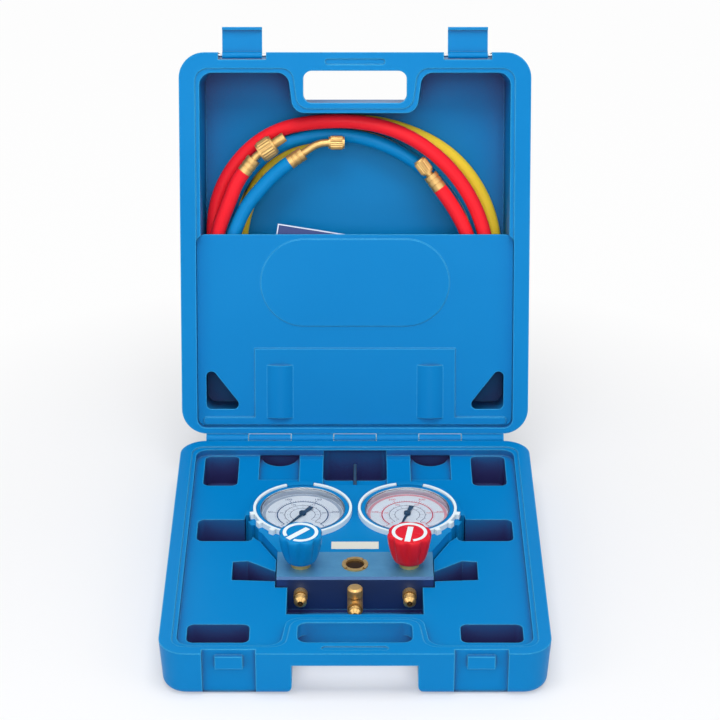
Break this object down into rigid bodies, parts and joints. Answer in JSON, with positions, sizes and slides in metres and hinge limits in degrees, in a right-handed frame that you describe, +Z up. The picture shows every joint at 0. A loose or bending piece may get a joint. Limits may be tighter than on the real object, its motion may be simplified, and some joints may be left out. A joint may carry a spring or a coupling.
{
  "type": "refrigerant manifold gauge set",
  "caption": "Refrigerant manifold gauge with sight glass, flare ports and lobed valve knobs, charging hoses and a hinged carrying case.",
  "frame": {"origin": "centre of the case base's underside", "axes": "+Z up; +Y towards the hinge; +X to the right as seen from the front, with the lid open at the back"},
  "size_m": [0.33, 0.5361, 0.4116],
  "materials": {
    "case_blue": "satin",
    "panel_blue": "satin",
    "latch_blue": "satin",
    "pin_steel": "drawn",
    "block_blue": "anodised",
    "housing_blue": "matt",
    "ring_white": "gloss",
    "can_steel": "satin",
    "dial_low": "printed",
    "dial_high": "printed",
    "lens_clear": "polished",
    "needle_dark": "matt",
    "brass": "machined",
    "movement_brass": "stamped",
    "bourdon_bronze": "drawn",
    "knob_red": "gloss",
    "knob_blue": "gloss",
    "insert_white": "gloss",
    "sight_glass": "polished",
    "stem_steel": "turned",
    "cap_brass": "machined",
    "label_cream": "gloss",
    "hook_steel": "plated",
    "hose_red": "satin",
    "hose_blue": "satin",
    "hose_yellow": "satin",
    "ferrule_brass": "crimped",
    "nut_brass": "knurled",
    "leaflet_blue": "coated"
  },
  "bodies": {
    "case_base": {"case_base": "case_blue", "hinge_pin": "pin_steel"},
    "case_lid": {"case_lid": "case_blue", "pocket_panel": "panel_blue", "latch_pins": "pin_steel", "leaflet": "leaflet_blue", "red_hose": "hose_red", "blue_hose": "hose_blue", "yellow_hose": "hose_yellow", "red_ferrules": "ferrule_brass", "blue_ferrules": "ferrule_brass", "yellow_ferrules": "ferrule_brass", "red_bent_pipe": "brass", "blue_bent_pipe": "brass", "red_nuts": "nut_brass", "blue_nuts": "nut_brass", "yellow_nuts": "nut_brass", "red_adapter": "brass"},
    "latch_left": {"latch_left": "latch_blue"},
    "latch_right": {"latch_right": "latch_blue"},
    "manifold": {"manifold_block": "block_blue", "gauge_housing": "housing_blue", "sight_glass_ring": "brass", "sight_glass": "sight_glass", "centre_tee": "brass", "charge_valve_core": "brass", "charge_cap": "cap_brass", "label_plate": "label_cream", "hook_bush": "brass", "low_bezel_ring": "ring_white", "low_gauge_case": "can_steel", "low_dial": "dial_low", "low_lens": "lens_clear", "low_gauge_socket": "brass", "low_bourdon_tube": "bourdon_bronze", "low_movement": "movement_brass", "low_valve_bonnet": "brass", "low_side_port": "brass", "high_bezel_ring": "ring_white", "high_gauge_case": "can_steel", "high_dial": "dial_high", "high_lens": "lens_clear", "high_gauge_socket": "brass", "high_bourdon_tube": "bourdon_bronze", "high_movement": "movement_brass", "high_valve_bonnet": "brass", "high_side_port": "brass"},
    "hook": {"hook": "hook_steel"},
    "low_stem": {"low_valve_stem": "stem_steel"},
    "high_stem": {"high_valve_stem": "stem_steel"},
    "low_knob": {"low_knob": "knob_blue", "low_knob_insert": "insert_white"},
    "high_knob": {"high_knob": "knob_red", "high_knob_insert": "insert_white"},
    "low_needle": {"low_needle": "needle_dark"},
    "high_needle": {"high_needle": "needle_dark"}
  },
  "joints": [
    {"name": "lid_hinge", "type": "hinge", "parent": "case_base", "child": "case_lid", "pos_m": [0, 0.1856, 0.0435], "axis": [-1, 0, 0], "range_deg": [-108.75, 0]},
    {"name": "latch_left_hinge", "type": "hinge", "parent": "case_lid", "child": "latch_left", "pos_m": [-0.1056, 0.30768, 0.38604], "axis": [-1, 0, 0], "range_deg": [-90, 0]},
    {"name": "latch_right_hinge", "type": "hinge", "parent": "case_lid", "child": "latch_right", "pos_m": [0.1056, 0.30768, 0.38604], "axis": [-1, 0, 0], "range_deg": [-90, 0]},
    {"name": "manifold_lift", "type": "slide", "parent": "case_base", "child": "manifold", "axis": [0, 0, 1], "range_m": [0, 0.09]},
    {"name": "low_stem_rise", "type": "slide", "parent": "manifold", "child": "low_stem", "axis": [0, 0, 1], "range_m": [0, 0.0039]},
    {"name": "low_knob_turn", "type": "hinge", "parent": "low_stem", "child": "low_knob", "pos_m": [-0.0475, -0.0435, 0.06], "axis": [0, 0, 1], "range_deg": [0, 1080]},
    {"name": "low_needle_turn", "type": "hinge", "parent": "manifold", "child": "low_needle", "pos_m": [-0.0475, 0.0465, 0.042], "axis": [0, 0, -1], "range_deg": [-25, 245]},
    {"name": "high_stem_rise", "type": "slide", "parent": "manifold", "child": "high_stem", "axis": [0, 0, 1], "range_m": [0, 0.0039]},
    {"name": "high_knob_turn", "type": "hinge", "parent": "high_stem", "child": "high_knob", "pos_m": [0.0475, -0.0435, 0.06], "axis": [0, 0, 1], "range_deg": [0, 1080]},
    {"name": "high_needle_turn", "type": "hinge", "parent": "manifold", "child": "high_needle", "pos_m": [0.0475, 0.0465, 0.042], "axis": [0, 0, -1], "range_deg": [0, 270]},
    {"name": "hook_swivel", "type": "hinge", "parent": "manifold", "child": "hook", "pos_m": [0, 0.1, 0.0395], "axis": [0, 1, 0], "range_deg": [-90, 90]}
  ],
  "couplings": [
    {"joint": "low_stem_rise", "follows": "low_knob_turn", "m_per_rad": 0.0002016},
    {"joint": "high_stem_rise", "follows": "high_knob_turn", "m_per_rad": 0.0002016}
  ]
}
